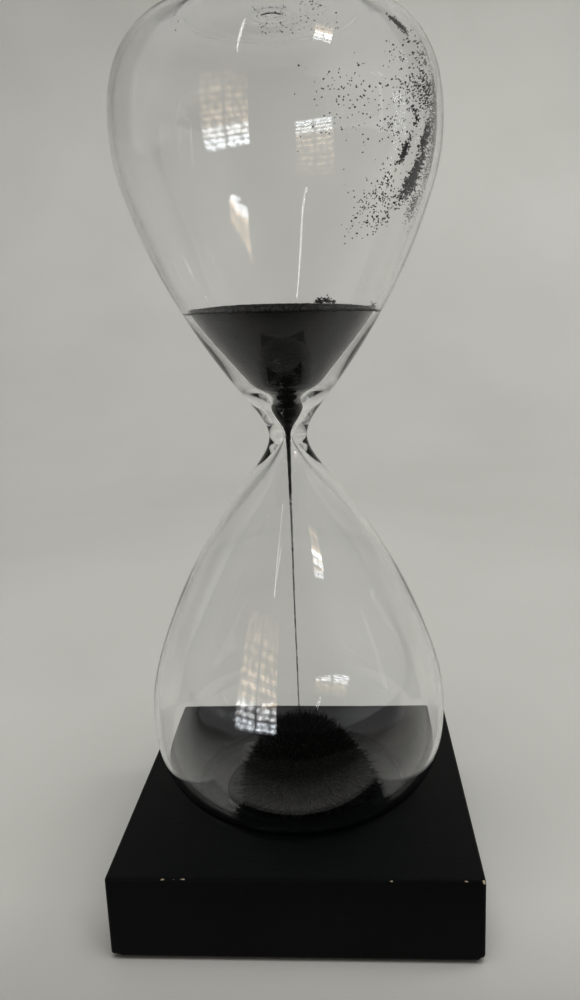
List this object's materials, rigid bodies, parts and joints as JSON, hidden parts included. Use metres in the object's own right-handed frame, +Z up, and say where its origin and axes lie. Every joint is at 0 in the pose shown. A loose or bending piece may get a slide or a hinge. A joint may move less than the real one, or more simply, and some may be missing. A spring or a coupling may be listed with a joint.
{
  "type": "magnetic sand timer",
  "caption": "Sealed glass hourglass with iron filings that fall into a spiky mound, standing in a round seat on a black wooden block with a magnet inside.",
  "frame": {"origin": "centre of the base's underside, on the surface that it stands on", "axes": "+Z up along the timer's axis; +X and +Y square to the block's sides, with -Y towards the front"},
  "size_m": [0.08, 0.08, 0.1976],
  "materials": {
    "black_paint": "matte black paint on wood, chipped to pale wood along the edges",
    "magnet": "sintered dark grey ferrite",
    "plug": "bare fibreboard",
    "felt": "black felt",
    "clear_glass": "clear blown glass",
    "filings": "charcoal grey iron filings"
  },
  "bodies": {
    "base": {"base_block": "black_paint", "magnet_disc": "magnet", "pocket_plug": "plug", "felt_pad": "felt"},
    "mound": {"mound_core": "filings", "crown_spikes": "filings", "flank_spikes": "filings", "foot_spikes": "filings"},
    "timer_glass": {"upper_bulb": "clear_glass", "lower_bulb": "clear_glass", "glass_neck": "clear_glass", "fill_seal": "clear_glass", "filings_bed": "filings", "throat_filings": "filings", "bed_clumps": "filings", "clinging_patch": "filings", "clinging_specks": "filings", "end_specks": "filings", "lower_specks": "filings", "filings_stream": "filings"}
  },
  "joints": [
    {"name": "timer_lift", "type": "slide", "parent": "base", "child": "mound", "axis": [0, 0, 1], "range_m": [0, 0.06]},
    {"name": "glass_spin", "type": "hinge", "parent": "mound", "child": "timer_glass", "pos_m": [0, 0, 0.0174], "axis": [0, 0, 1], "continuous": true}
  ]
}
